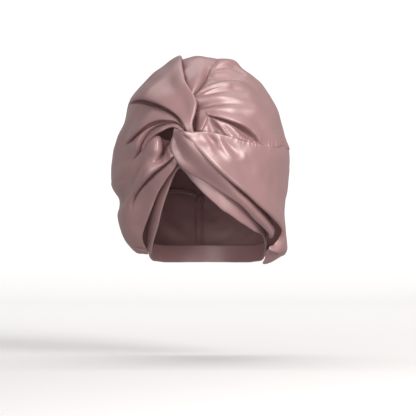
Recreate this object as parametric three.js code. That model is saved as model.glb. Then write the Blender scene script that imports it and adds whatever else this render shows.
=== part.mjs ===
// Satin sleep bonnet with a knotted front, in millimetres, +Z up, front towards -Y.
// The origin is the point inside the crown where the top of the head rests.
//
// Two smooth forms carry everything: the puffed outside of the bonnet and the head inside it.
// Each cloth piece is a patch laid over one of them: a few strands run from the knot to the back,
// and folds raise or sink the patch along hand-drawn lines. Every piece is a thin closed wall.
import * as THREE from "three";

// ---------------------------------------------------------------- driving sizes
const WALL = 1.2; // doubled satin
const BAND_WALL = 1.4; // head band: satin folded over a flat elastic
const BAND_WIDTH = 20;
const BAND_CLEARANCE = 0.6; // head band to head
const SEAM_GAP = 0.6; // each side of a seam
const STEP = 0.01; // chart step for normals, as a share of the chart's radius

// ---------------------------------------------------------------- the two forms
// Rows from the crown down. Columns: height, then the reach from the axis to the left, right,
// front left, front right and back.
const PUFF_AXIS = { x: -5, y: 0 };
const PUFF_ROWS = [
  // z, left, right, frontLeft, frontRight, back
  [10, 0, 0, 0, 0, 0],
  [9, 18, 19, 18, 18, 18],
  [6, 33, 36, 36, 36, 38],
  [-3, 46, 45.5, 53, 53, 58],
  [-13, 59, 58.5, 67, 67, 78],
  [-26, 72, 70.5, 80, 80, 96],
  [-42, 81.5, 80.5, 91, 91, 110],
  [-60, 87, 87.5, 99, 99, 120],
  [-78, 93, 92, 103, 104, 126],
  [-96, 98, 97, 104, 106, 128],
  [-114, 102, 97, 101, 104, 127],
  [-132, 102, 95.5, 93, 100, 122],
  [-150, 94, 93, 83, 96, 114],
  [-168, 95, 91.5, 70, 88, 104],
  [-184, 92, 93, 57, 72, 93],
  [-196, 87, 95.5, 47, 54, 85],
  [-206, 79, 95.5, 39, 44, 76],
  [-214, 69, 90, 33, 37, 71],
  [-222, 59.4, 77, 28, 32, 66.6],
];
const HEAD_AXIS = { x: 0, y: 0 };
const HEAD_ROWS = [
  // z, left, right, frontLeft, frontRight, back
  [0, 0, 0, 0, 0, 0],
  [-10, 38, 38, 45, 45, 48],
  [-40, 68, 68, 82, 82, 86],
  [-70, 74, 74, 91, 91, 94],
  [-105, 74, 74, 92, 92, 95],
  [-135, 71, 71, 91, 91, 90],
  [-160, 69, 69, 90, 90, 83],
  [-180, 67, 67, 88, 88, 76],
  [-200, 65, 65, 85, 85, 69],
  [-222, 61, 61, 78, 78, 63],
  [-245, 57, 57, 70, 70, 58],
];

// Piecewise cubic through (xs, ys) with central slopes.
function smooth(xs, ys, x) {
  const last = xs.length - 1;
  const clamped = Math.min(Math.max(x, xs[0]), xs[last]);
  let i = 0;
  while (i < last - 1 && clamped > xs[i + 1]) i++;
  const slope = (k) => {
    const a = Math.max(k - 1, 0);
    const b = Math.min(k + 1, last);
    return (ys[b] - ys[a]) / (xs[b] - xs[a]);
  };
  const h = xs[i + 1] - xs[i];
  const t = (clamped - xs[i]) / h;
  const t2 = t * t;
  const t3 = t2 * t;
  return (
    (2 * t3 - 3 * t2 + 1) * ys[i] +
    (t3 - 2 * t2 + t) * h * slope(i) +
    (3 * t2 - 2 * t3) * ys[i + 1] +
    (t3 - t2) * h * slope(i + 1)
  );
}

// A round-topped hollow form. A place on it is (azimuth from the front, s along the meridian),
// drawn flat as a chart point (s sin azimuth, -s cos azimuth) with the crown at the centre.
class Form {
  constructor(rows, axis) {
    this.axis = axis;
    const table = [rows[1].map((value, column) => (column ? -value : value)), ...rows];
    this.s = [];
    table.forEach((row, i) => {
      if (i === 0) return this.s.push(0);
      const before = table[i - 1];
      const steps = [1, 2, 3, 4, 5].map((c) => Math.hypot(row[0] - before[0], row[c] - before[c]));
      this.s.push(this.s[i - 1] + steps.reduce((sum, step) => sum + step, 0) / steps.length);
    });
    const crown = this.s[1];
    this.s = this.s.map((value) => value - crown);
    this.columns = rows[0].map((_, c) => table.map((row) => row[c]));
    this.rows = rows;
  }
  reach(column, s) {
    return smooth(this.s, this.columns[column], s);
  }
  sAtHeight(z) {
    let low = 0;
    let high = this.s[this.s.length - 1];
    for (let n = 0; n < 40; n++) {
      const middle = (low + high) / 2;
      if (this.reach(0, middle) > z) low = middle;
      else high = middle;
    }
    return (low + high) / 2;
  }
  quadrant(azimuth, s) {
    const sin = Math.sin(azimuth);
    const side = this.reach(sin < 0 ? 1 : 2, s);
    const share = THREE.MathUtils.smoothstep(sin, -0.4, 0.4);
    const front = this.reach(3, s) * (1 - share) + this.reach(4, s) * share;
    return { side, depth: Math.cos(azimuth) > 0 ? front : this.reach(5, s) };
  }
  point(chart) {
    const azimuth = Math.atan2(chart.x, -chart.y);
    const s = Math.hypot(chart.x, chart.y);
    const { side, depth } = this.quadrant(azimuth, s);
    return new THREE.Vector3(
      this.axis.x + side * Math.sin(azimuth),
      this.axis.y - depth * Math.cos(azimuth),
      this.reach(0, s),
    );
  }
  normal(chart) {
    const d = STEP * this.s[this.s.length - 1];
    const shift = (x, y) => this.point(new THREE.Vector2(chart.x + x, chart.y + y));
    const across = shift(d, 0).sub(shift(-d, 0));
    const along = shift(0, d).sub(shift(0, -d));
    return across.cross(along).normalize();
  }
  round(degrees, z) {
    const azimuth = THREE.MathUtils.degToRad(degrees);
    const s = this.sAtHeight(z);
    return new THREE.Vector2(s * Math.sin(azimuth), -s * Math.cos(azimuth));
  }
  front(x, z) {
    const s = this.sAtHeight(z);
    const side = this.reach(x < this.axis.x ? 1 : 2, s);
    const sin = Math.min(Math.max((x - this.axis.x) / side, -0.999), 0.999);
    return new THREE.Vector2(s * sin, -s * Math.sqrt(1 - sin * sin));
  }
  locate(p) {
    const s = this.sAtHeight(p.z);
    const guess = Math.atan2(p.x - this.axis.x, this.axis.y - p.y);
    const { side, depth } = this.quadrant(guess, s);
    const azimuth = Math.atan2((p.x - this.axis.x) / side, (this.axis.y - p.y) / depth);
    return new THREE.Vector2(s * Math.sin(azimuth), -s * Math.cos(azimuth));
  }
}

const PUFF = new Form(PUFF_ROWS, PUFF_AXIS);
const HEAD = new Form(HEAD_ROWS, HEAD_AXIS);
const front = (x, z) => PUFF.front(x, z);
const round = (degrees, z) => PUFF.round(degrees, z);

// ---------------------------------------------------------------- strands
// Seams that two pieces share, from the front round to the middle of the back.
const CENTRE_SEAM = [
  round(-142, 4.5), round(-155, 1), round(-171, -20), round(-178, -60), round(-180, -105),
  round(-180, -145),
];
const LEFT_SEAM = [
  front(-82, -105), front(-90, -118), front(-99, -127), round(-92, -134), round(-110, -140),
  round(-140, -145), round(-180, -149),
];
const RIGHT_SEAM = [
  front(15, -76), front(28, -80), front(40, -83), front(57, -87), front(76, -91), round(90, -95),
  round(120, -104), round(150, -126), round(180, -149),
];

const BACK = 179.8; // degrees at which the right crown ends, just short of the middle

// Chart points part-way along a strand, counted in its places.
function partWay(points, places) {
  const keys = points.map((_, i) => i);
  const at = (axis, k) => smooth(keys, points.map((q) => q[axis]), k);
  return places.map((k) => new THREE.Vector2(at("x", k), at("y", k)));
}

// Each piece is lofted through strands that run from the knot to the back of the head.
const STRANDS = {
  crown_left: [
    [front(-21, -76), front(-28, -70), front(-34, -68), front(-40, -67.5), front(-46, -70),
      front(-52, -74), front(-60, -78.5), front(-67, -85), front(-75, -95), ...LEFT_SEAM],
    [front(-20, -75), front(-25, -65), front(-34, -54), front(-50, -44), front(-66, -38),
      front(-81, -41), round(-95, -62), round(-125, -90), round(-155, -120), round(-180, -147)],
    [front(-18, -75), front(-15.5, -65), front(-12.5, -54), front(-11, -46), front(-13, -39),
      front(-18, -31), front(-23, -22), front(-25.5, -12), front(-27.5, 1), round(-118, 8),
      ...CENTRE_SEAM],
  ],
  crown_right: [
    [front(-25, -68), front(-25, -50), front(-26, -40), front(-31, -30), front(-36, -20),
      front(-37, -8), round(-88, 4), round(-120, 4), ...CENTRE_SEAM.slice(0, -1),
      round(BACK, -145)],
    [front(-18, -70), front(-8, -48), front(10, -30), front(35, -22), front(60, -28),
      round(80, -38), round(115, -50), round(150, -92), round(BACK, -147)],
    [front(-14, -82), front(-4, -87), front(8, -88), front(20, -85),
      ...RIGHT_SEAM.slice(1, -1), ...partWay(RIGHT_SEAM, [7.33, 7.67]), round(BACK, -148.6)],
  ],
  band_right: [
    [front(-26, -73), front(-19, -81), front(-8, -93.5), front(4, -106.5), front(16, -118),
      front(28, -129), front(40, -140), front(50, -150), front(60, -160), front(69, -169.5),
      front(75.5, -177), front(79.8, -184.5), front(79, -193), front(73, -198.5),
      front(66.5, -200.5), front(64.4, -210), front(62.5, -220.5), front(69, -220),
      front(77, -215.5), round(92, -211), round(115, -212), round(130, -215), round(145, -218),
      round(162, -220.5), round(180, -221)],
    [front(-22, -73), front(-15, -79.5), front(-2, -90), front(10, -102), front(22, -113.5),
      front(34, -124), front(46, -135), front(56, -145), front(66, -155), front(75, -164.5),
      front(81.5, -173), front(85.5, -183), front(85.5, -194), front(81.5, -200.5), front(77.5, -204),
      front(75, -207), front(74, -210), round(62.5, -209.6), round(72, -208.3),
      round(94, -205.5), round(118, -206), round(131, -209), round(145, -212),
      round(162, -214.5), round(180, -215)],
    [front(-18, -73), front(-10, -77), front(4, -85), front(18, -96), front(31, -107),
      front(43, -117), front(55, -127), front(65, -137), front(74, -147), front(82, -157),
      round(78, -167), round(88, -177), round(95, -184), round(99, -188), round(102, -190.5),
      round(104, -192), round(106, -193), round(108, -193.5), round(111, -194),
      round(118, -195), round(128, -196.5), round(137, -198), round(149, -200),
      round(164, -202), round(180, -203)],
    [front(-12, -72), front(-5, -72.5), front(3, -73.2), front(10, -74.6),
      ...partWay(RIGHT_SEAM, [0.38, 1.17, 2.06, 2.7, 3.32, 3.9, 4.32, 4.66, 4.94, 5.2, 5.43]),
      ...partWay(RIGHT_SEAM, [5.63, 5.83, 6, 6.15, 6.35, 6.6, 6.87, 7.2, 7.58, 8])],
  ],
  band_roll: [
    [front(-36, -73), front(-39, -80), front(-41, -88), front(-40, -95), front(-37, -101),
      front(-32, -109), front(-27, -115), front(-19, -120), front(-11, -124), front(-2, -128),
      front(9, -134), front(24, -146), front(37, -156), front(48, -168), front(57, -179),
      front(66, -188)],
    [front(-28, -72), front(-18, -77), front(-6, -87), front(8, -101), front(21, -112),
      front(33, -124), front(45, -135), front(58, -146), front(69, -158), front(77, -171),
      front(79, -183)],
  ],
  band_left: [
    [front(-28, -100), front(-33, -109), front(-38, -117), front(-44, -125), front(-50, -134),
      front(-55, -142), front(-60, -152), front(-64, -163), front(-67, -172), front(-70, -181),
      front(-72, -190), front(-71, -198), front(-68, -206), front(-67, -211.5),
      round(-75, -210), round(-92, -205), round(-115, -208), round(-145, -217),
      round(-180, -221)],
    [front(-34, -88), front(-50, -96), front(-64, -111), front(-76, -131), front(-87, -152),
      round(-90, -168), round(-120, -180), round(-150, -186), round(-180, -188)],
    [front(-35, -79), front(-43, -81), front(-51, -80), front(-57, -79.5), front(-62, -82),
      front(-68, -88), front(-75, -96.5), ...LEFT_SEAM],
  ],
};

// The edge of the head band: round the neck, up the left of the face to a peak, and back down.
const head = (x, z) => HEAD.front(x, z);
const headRound = (degrees, z) => HEAD.round(degrees, z);
const NAPE_EDGE = [
  // degrees either side of the back, z
  [10, -221.5],
  [30, -221.5],
  [50, -221],
  [70, -219],
  [88, -215],
];
const BAND_EDGE = [
  ...NAPE_EDGE.map(([degrees, z]) => headRound(degrees - 180, z)),
  headRound(-76, -209), head(-60, -201), head(-57, -190), head(-53, -177), head(-50, -164),
  head(-46, -150), head(-41, -136), head(-36, -123), head(-30, -114), head(-24, -118),
  head(-15, -129), head(-4, -141), head(8, -152), head(20, -162), head(37, -174),
  head(52, -184), headRound(70, -191), headRound(80, -200),
  ...NAPE_EDGE.map(([degrees, z]) => headRound(180 - degrees, z)).reverse(),
];

// ---------------------------------------------------------------- folds
// A fold is a line with a row for each point: where, how high (negative sinks) and how wide.
// kind "swell" is a rounded ridge or hollow. kind "lip" stands up on one side of the line and
// drops away on the other; side is 1 when the high side is on the left hand going outward.
const fold = (kind, side, rows) => ({ kind, side, rows });
const SEAM_DIP = -1.6;
const seamDip = (seam) => fold("swell", 1, seam.map((chart) => [chart, SEAM_DIP, 5]));
const FOLDS = {
  crown_left: [
    // the edge that laps over the right half of the crown
    fold("swell", 1, [
      [front(-18, -75), 3, 8], [front(-15, -62), 6, 12], [front(-12, -48), 7.5, 15],
      [front(-15, -35), 7, 16], [front(-23, -20), 6, 16], [front(-26, -4), 5, 15],
      [round(-120, 7.5), 3, 14], [round(-150, 2), 0, 14],
    ]),
    fold("lip", -1, [
      [front(-21, -72), 1, 5], [front(-28, -59), 3, 7], [front(-37, -50), 5.5, 10],
      [front(-49, -43), 7, 12], [front(-61, -38), 7.5, 14], [front(-71, -36), 6, 14],
      [front(-80, -38), 3, 13], [front(-88, -44), 0, 12],
    ]),
    fold("lip", -1, [
      [front(-27, -66), 1, 5], [front(-34, -61), 2.6, 6], [front(-43, -58.5), 4, 7],
      [front(-53, -58.5), 5, 8], [front(-63, -62), 5.5, 9], [front(-73.5, -70.5), 5.5, 10],
      [front(-83, -79.5), 3, 10], [front(-92, -88), 0, 10],
    ]),
    fold("swell", 1, [
      [front(-21, -76), 2, 6], [front(-38, -68), 4, 7], [front(-56, -77), 4, 8],
      [front(-67, -86), 3, 9], [front(-80, -102), 1, 9], [front(-90, -118), 0, 9],
    ]),
    seamDip(LEFT_SEAM), seamDip(CENTRE_SEAM),
  ],
  crown_right: [
    fold("lip", 1, [
      [front(-16, -35), 1, 5], [front(-10, -28), 3, 8], [front(-5, -20), 4, 10],
      [front(-1, -11), 5, 12], [front(6, -2), 4, 12], [front(18, 2), 3, 12],
      [front(34, -3), 0, 12],
    ]),
    fold("swell", 1, [
      [front(-14, -36), 0, 5], [front(6, -27), 3, 8], [front(30, -21), 3, 10],
      [front(52, -23), 0, 12],
    ]),
    fold("swell", 1, [
      [front(-10, -41), 0, 5], [front(9, -39), 3, 8], [front(31, -40), 4, 10],
      [front(54, -48), 3, 12], [front(72, -66), 0, 14],
    ]),
    fold("lip", 1, [
      [front(3, -56), 1, 6], [front(20, -58), 4, 9], [front(38, -63), 5, 10],
      [front(50, -74), 3, 10], [front(58, -84), 0, 9],
    ]),
    fold("swell", 1, [
      [front(-18, -72), -6.6, 7], [front(-16, -50), -4.4, 7], [front(-18, -34), -3, 8],
      [front(-28, -18), -3, 8], [front(-31, -3), -4, 9], [round(-88, 5), -5, 12],
      [round(-120, 6), -5, 14], [round(-150, 2), -3, 12], [round(-165, -8), 0, 10],
    ]),
    fold("swell", 1, [
      [front(-10, -79), -7, 10], [front(6, -82), -7, 10], [front(20, -83), -5, 8],
      [front(30, -83), -1.5, 6], [front(38, -85), 0, 6],
    ]),
    seamDip(RIGHT_SEAM), seamDip(CENTRE_SEAM),
  ],
  band_right: [
    fold("swell", 1, [
      [front(-26, -73), 13, 12], [front(-7, -94), 10, 14], [front(16, -116), 9, 15],
      [front(40, -139), 9, 15], [front(62, -160), 8, 14], [front(76, -174), 5, 13],
      [front(83, -186), 0, 12],
    ]),
    fold("swell", 1, [
      [front(-12, -72), 9, 9], [front(0, -73), 6, 9], [front(15, -77), 2, 9], [front(30, -81), 0, 9],
    ]),
    seamDip(RIGHT_SEAM),
  ],
  band_roll: [
    fold("swell", 1, [
      [front(-33, -72), 11, 10], [front(-36, -90), 9, 10], [front(-24, -100), 6, 12],
      [front(-8, -105), 4, 12], [front(12, -121), 3, 9], [front(37, -146), 2, 8],
      [front(60, -170), 0, 8],
    ]),
    fold("swell", 1, [
      [front(-6, -86), -1, 6], [front(21, -111), -4, 7], [front(45, -134), -6, 8],
      [front(69, -157), -7, 9], [front(78, -175), -7, 9],
    ]),
  ],
  band_left: [
    fold("lip", -1, [
      [front(-41, -103), 2, 6], [front(-50, -109), 4, 8], [front(-60, -116), 5.5, 9],
      [front(-69, -125), 5, 10], [front(-77, -136), 3, 11], [front(-83, -152), 0, 12],
    ]),
    fold("swell", 1, [
      [front(-57, -82), 4, 8], [front(-57, -92), 6, 9], [front(-60, -104), 5, 10],
      [front(-70, -122), 3, 11], [front(-84, -150), 3, 14], [front(-89, -175), 2, 15],
    ]),
    fold("swell", 1, [
      [front(-48, -76), -6, 6], [front(-49, -88), -7, 6], [front(-50, -98), -3, 6],
      [front(-53, -108), 0, 6],
    ]),
    fold("swell", 1, [
      [front(-74, -105), -3, 8], [front(-83, -124), -4, 9], [front(-91, -142), -4, 9],
      [front(-97, -153), -3, 8],
    ]),
    fold("swell", 1, [
      [front(-34, -79), -5, 9], [front(-50, -79), -4, 8], [front(-66, -85), -4, 8],
      [front(-77, -98), -2, 8], [front(-90, -118), 0, 8],
    ]),
    seamDip(LEFT_SEAM),
  ],
};

// The heights of a fold at points of a patch.
function foldHeight(form, entry, p, normal) {
  const rows = entry.line;
  let best = Infinity;
  let found = null;
  for (let i = 0; i < rows.length - 1; i++) {
    const a = rows[i].p;
    const along = rows[i + 1].p.clone().sub(a);
    const t = THREE.MathUtils.clamp(p.clone().sub(a).dot(along) / along.lengthSq(), 0, 1);
    const away = p.clone().sub(a.clone().addScaledVector(along, t));
    const distance = away.lengthSq();
    if (distance < best) {
      best = distance;
      found = { i, t, away, along };
    }
  }
  const { i, t, away, along } = found;
  const high = rows[i].high * (1 - t) + rows[i + 1].high * t;
  const wide = rows[i].wide * (1 - t) + rows[i + 1].wide * t;
  const q = Math.sqrt(best) / wide;
  if (entry.kind === "swell") return high * Math.exp(-q * q);
  const left = normal.clone().cross(along).dot(away) * entry.side > 0 ? q : -q;
  return high * (0.3 + 0.7 * Math.tanh(3 * left)) * Math.exp(-1.3 * q);
}

// A fold's points on its form, with extra points between the rows.
const FOLD_PARTS = 4;
function drawFold(form, { kind, side, rows }) {
  const keys = rows.map((_, i) => i);
  const line = [];
  for (let n = 0; n <= (rows.length - 1) * FOLD_PARTS; n++) {
    const k = n / FOLD_PARTS;
    const chart = new THREE.Vector2(
      smooth(keys, rows.map((row) => row[0].x), k),
      smooth(keys, rows.map((row) => row[0].y), k),
    );
    const i = Math.min(Math.floor(k), rows.length - 2);
    const t = k - i;
    line.push({
      p: form.point(chart),
      high: rows[i][1] * (1 - t) + rows[i + 1][1] * t,
      wide: rows[i][2] * (1 - t) + rows[i + 1][2] * t,
    });
  }
  return { kind, side, line };
}

// ---------------------------------------------------------------- patches
const STRAND_PARTS = 200;
// A strand drawn smoothly in the chart, with its points evenly spaced on the form.
function drawStrand(form, points) {
  const keys = points.map((_, i) => i);
  const fine = [];
  for (let n = 0; n <= STRAND_PARTS; n++) {
    const k = (n / STRAND_PARTS) * (points.length - 1);
    fine.push(
      new THREE.Vector2(
        smooth(keys, points.map((q) => q.x), k),
        smooth(keys, points.map((q) => q.y), k),
      ),
    );
  }
  const length = [0];
  for (let n = 1; n < fine.length; n++) {
    length.push(length[n - 1] + form.point(fine[n]).distanceTo(form.point(fine[n - 1])));
  }
  const total = length[length.length - 1];
  return (share) => {
    let n = 0;
    while (n < fine.length - 2 && length[n + 1] < share * total) n++;
    const t = (share * total - length[n]) / (length[n + 1] - length[n]);
    return fine[n].clone().lerp(fine[n + 1], THREE.MathUtils.clamp(t, 0, 1));
  };
}

// A chart point part-way across the ends of the strands, on a smooth curve through them.
function lofted(keys, ends, k) {
  return new THREE.Vector2(
    smooth(keys, ends.map((q) => q.x), k),
    smooth(keys, ends.map((q) => q.y), k),
  );
}

// The same by azimuth and distance from the crown, straight from one strand to the next.
const BEHIND = -Math.PI / 2; // azimuths are counted from here, so that the back is in one piece
function turned(keys, ends, k) {
  let i = 0;
  while (i < ends.length - 2 && k > keys[i + 1]) i++;
  const t = (k - keys[i]) / (keys[i + 1] - keys[i]);
  const [a, b] = [ends[i], ends[i + 1]].map((q) => {
    const azimuth = Math.atan2(q.x, -q.y);
    return [azimuth < BEHIND ? azimuth + 2 * Math.PI : azimuth, q.length()];
  });
  const azimuth = a[0] * (1 - t) + b[0] * t;
  const s = a[1] * (1 - t) + b[1] * t;
  return new THREE.Vector2(s * Math.sin(azimuth), -s * Math.cos(azimuth));
}

// The chart points of a patch: rows across the strands, columns along them, closer at the knot.
// Strands that all have the same number of places are matched place by place.
function chartGrid(form, strands, across, shares) {
  const matched = strands.every((points) => points.length === strands[0].length);
  const drawn = matched
    ? strands.map((points) => (share) => partWay(points, [share * (points.length - 1)])[0])
    : strands.map((points) => drawStrand(form, points));
  const grid = [];
  for (let i = 0; i <= across; i++) grid.push([]);
  for (const share of shares) {
    const ends = drawn.map((strand) => strand(share));
    const keys = [0];
    for (let n = 1; n < ends.length; n++) {
      keys.push(keys[n - 1] + form.point(ends[n]).distanceTo(form.point(ends[n - 1])));
    }
    const total = keys[keys.length - 1];
    const between = matched ? turned : lofted;
    for (let i = 0; i <= across; i++) grid[i].push(between(keys, ends, (i / across) * total));
  }
  return grid;
}

// Draws the outline of a patch in by a hair, so that pieces sewn together keep clear of each other.
function drawIn(grid, amount) {
  const pull = (edge, inside) => {
    const away = inside.clone().sub(edge);
    edge.addScaledVector(away, amount / away.length());
  };
  const last = grid.length - 1;
  const end = grid[0].length - 1;
  for (let j = 0; j <= end; j++) {
    pull(grid[0][j], grid[1][j]);
    pull(grid[last][j], grid[last - 1][j]);
  }
  for (const row of grid) pull(row[end], row[end - 1]);
}

// A closed thin wall from a grid of outer points and inner points. A ring joins its last column
// to its first.
function wallGeometry(outer, inner, ring) {
  const rows = outer.length;
  const columns = outer[0].length;
  const used = ring ? columns - 1 : columns;
  const points = [];
  for (const sheet of [outer, inner]) {
    for (const row of sheet) for (let j = 0; j < used; j++) points.push(row[j]);
  }
  const at = (sheet, i, j) => sheet * rows * used + i * used + (j % used);
  const faces = [];
  const quad = (a, b, c, d, otherWay = false) =>
    faces.push(...(otherWay ? [a, b, d, b, c, d] : [a, b, c, a, c, d]));
  const apart = (a, b) => points[a].distanceTo(points[b]);
  for (let i = 0; i < rows - 1; i++) {
    for (let j = 0; j < columns - 1; j++) {
      const [a, b, c, d] = [at(0, i, j), at(0, i, j + 1), at(0, i + 1, j + 1), at(0, i + 1, j)];
      const otherWay = apart(b, d) < apart(a, c); // cut along the shorter diagonal
      quad(a, b, c, d, otherWay);
      quad(at(1, i, j), at(1, i + 1, j), at(1, i + 1, j + 1), at(1, i, j + 1), otherWay);
    }
  }
  for (let j = 0; j < columns - 1; j++) {
    quad(at(0, 0, j), at(1, 0, j), at(1, 0, j + 1), at(0, 0, j + 1));
    quad(at(0, rows - 1, j), at(0, rows - 1, j + 1), at(1, rows - 1, j + 1), at(1, rows - 1, j));
  }
  if (!ring) {
    for (let i = 0; i < rows - 1; i++) {
      quad(at(0, i, 0), at(0, i + 1, 0), at(1, i + 1, 0), at(1, i, 0));
      const e = columns - 1;
      quad(at(0, i, e), at(1, i, e), at(1, i + 1, e), at(0, i + 1, e));
    }
  }
  let volume = 0;
  for (let f = 0; f < faces.length; f += 3) {
    const [a, b, c] = [points[faces[f]], points[faces[f + 1]], points[faces[f + 2]]];
    volume += a.dot(b.clone().cross(c));
  }
  if (volume < 0) {
    for (let f = 0; f < faces.length; f += 3) {
      [faces[f + 1], faces[f + 2]] = [faces[f + 2], faces[f + 1]];
    }
  }
  const geometry = new THREE.BufferGeometry().setFromPoints(points);
  geometry.setIndex(faces);
  geometry.computeVertexNormals();
  return geometry;
}

// Shares of the way along a piece, closer together near the knot.
const spread = (along, crowd) =>
  Array.from({ length: along + 1 }, (_, j) => (j / along) ** crowd);

function clothGeometry(name, across, shares) {
  const folds = FOLDS[name].map((entry) => drawFold(PUFF, entry));
  const grid = chartGrid(PUFF, STRANDS[name], across, shares);
  drawIn(grid, SEAM_GAP);
  const outer = [];
  const inner = [];
  for (const row of grid) {
    const top = [];
    const under = [];
    for (const chart of row) {
      const p = PUFF.point(chart);
      const normal = PUFF.normal(chart);
      let high = 0;
      for (const entry of folds) high += foldHeight(PUFF, entry, p, normal);
      top.push(p.clone().addScaledVector(normal, high));
      under.push(p.clone().addScaledVector(normal, high - WALL));
    }
    outer.push(top);
    inner.push(under);
  }
  return wallGeometry(outer, inner, false);
}

function headBandGeometry(across, along) {
  const edge = drawStrand(HEAD, BAND_EDGE);
  const grid = [];
  for (let i = 0; i <= across; i++) grid.push([]);
  for (let j = 0; j <= along; j++) {
    const chart = edge(j / along);
    const before = HEAD.point(edge((j - 0.5 + along) / along % 1));
    const after = HEAD.point(edge((j + 0.5) / along % 1));
    const normal = HEAD.normal(chart);
    const away = normal.clone().cross(after.sub(before)).normalize();
    for (let i = 0; i <= across; i++) {
      const p = HEAD.point(chart).addScaledVector(away, (BAND_WIDTH * i) / across);
      grid[i].push(HEAD.locate(p));
    }
  }
  const sheet = (high) =>
    grid.map((row) =>
      row.map((chart) => HEAD.point(chart).addScaledVector(HEAD.normal(chart), high)),
    );
  return wallGeometry(sheet(BAND_CLEARANCE + BAND_WALL), sheet(BAND_CLEARANCE), true);
}

// ---------------------------------------------------------------- the bonnet
const satin = () => new THREE.MeshStandardMaterial({ color: 0xa58283, roughness: 0.38 });
const elastic = () => new THREE.MeshStandardMaterial({ color: 0xa08482, roughness: 0.5 });

function piece(name, geometry, material) {
  const mesh = new THREE.Mesh(geometry, material);
  mesh.name = name;
  return mesh;
}

// The right band has a column at each place of its strands, and at half places round the pocket.
const POCKET_FROM = 10;
const POCKET_TO = 19;
const BAND_RIGHT_SHARES = [];
for (let place = 0; place < STRANDS.band_right[0].length; place++) {
  const last = STRANDS.band_right[0].length - 1;
  BAND_RIGHT_SHARES.push(place / last);
  if (place >= POCKET_FROM && place < POCKET_TO) BAND_RIGHT_SHARES.push((place + 0.5) / last);
}

const bonnet = new THREE.Group();
bonnet.add(
  piece("crown_left", clothGeometry("crown_left", 16, spread(30, 1.2)), satin()),
  piece("crown_right", clothGeometry("crown_right", 16, spread(30, 1.2)), satin()),
  piece("band_right", clothGeometry("band_right", 16, BAND_RIGHT_SHARES), satin()),
  piece("band_roll", clothGeometry("band_roll", 6, spread(28, 1)), satin()),
  piece("band_left", clothGeometry("band_left", 12, spread(28, 1.1)), satin()),
  piece("head_band", headBandGeometry(2, 72), elastic()),
);

export default bonnet;
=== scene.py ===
"""Satin sleep bonnet with a knotted front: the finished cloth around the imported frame.

Run as a script inside Blender. Lengths in the tables are millimetres in the frame's axes: +Z up,
the front towards -Y, the origin where the top of the head rests inside the crown.
"""

import math

import bpy
import numpy as np
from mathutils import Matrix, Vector


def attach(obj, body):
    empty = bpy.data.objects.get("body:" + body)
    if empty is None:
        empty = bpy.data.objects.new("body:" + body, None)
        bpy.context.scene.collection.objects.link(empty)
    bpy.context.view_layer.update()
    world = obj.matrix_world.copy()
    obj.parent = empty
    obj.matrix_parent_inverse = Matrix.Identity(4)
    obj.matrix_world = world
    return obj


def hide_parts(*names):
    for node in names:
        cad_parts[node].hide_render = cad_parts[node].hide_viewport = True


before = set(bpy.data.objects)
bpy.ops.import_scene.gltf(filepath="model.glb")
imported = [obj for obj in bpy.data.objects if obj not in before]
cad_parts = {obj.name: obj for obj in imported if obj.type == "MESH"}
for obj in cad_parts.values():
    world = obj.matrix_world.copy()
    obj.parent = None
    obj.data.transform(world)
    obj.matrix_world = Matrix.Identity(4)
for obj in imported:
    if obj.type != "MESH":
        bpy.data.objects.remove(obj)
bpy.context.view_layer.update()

bl_info = {
    "name": "Satin Sleep Bonnet",
    "version": (1, 0, 0),
    "blender": (4, 5, 0),
    "location": "View3D > Sidebar > Bonnet",
    "description": "Builds the draped satin pieces of a knotted sleep bonnet and the stage it is shown on",
    "category": "Add Mesh",
}

MM = 0.001
ROOT = "root"


# ------------------------------------------------------------------ the two forms
# Rows from the crown down: height, then the reach from the axis to the left, right, front left,
# front right and back. The puff is the outside of the bonnet, and the head is what the band hugs.
PUFF_AXIS = (-5, 0)
PUFF_ROWS = [
    (10, 0, 0, 0, 0, 0),
    (9, 18, 19, 18, 18, 18),
    (6, 33, 36, 36, 36, 38),
    (-3, 46, 45.5, 53, 53, 58),
    (-13, 59, 58.5, 67, 67, 78),
    (-26, 72, 70.5, 80, 80, 96),
    (-42, 81.5, 80.5, 91, 91, 110),
    (-60, 87, 87.5, 99, 99, 120),
    (-78, 93, 92, 103, 104, 126),
    (-96, 98, 97, 104, 106, 128),
    (-114, 102, 97, 101, 104, 127),
    (-132, 102, 95.5, 93, 100, 122),
    (-150, 94, 93, 83, 96, 114),
    (-168, 95, 91.5, 70, 88, 104),
    (-184, 92, 93, 57, 72, 93),
    (-196, 87, 95.5, 47, 54, 85),
    (-206, 79, 95.5, 39, 44, 77),
    (-214, 69, 90, 33, 37, 72.5),
    (-222, 59.4, 77, 28, 32, 69),
]
HEAD_AXIS = (0, 0)
HEAD_ROWS = [
    (0, 0, 0, 0, 0, 0),
    (-10, 38, 38, 45, 45, 48),
    (-40, 68, 68, 82, 82, 86),
    (-70, 74, 74, 91, 91, 94),
    (-105, 74, 74, 92, 92, 95),
    (-135, 71, 71, 91, 91, 90),
    (-160, 69, 69, 90, 90, 83),
    (-180, 67, 67, 88, 88, 76),
    (-200, 65, 65, 85, 85, 69),
    (-222, 61, 61, 78, 78, 63),
    (-245, 57, 57, 70, 70, 58),
]


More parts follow.
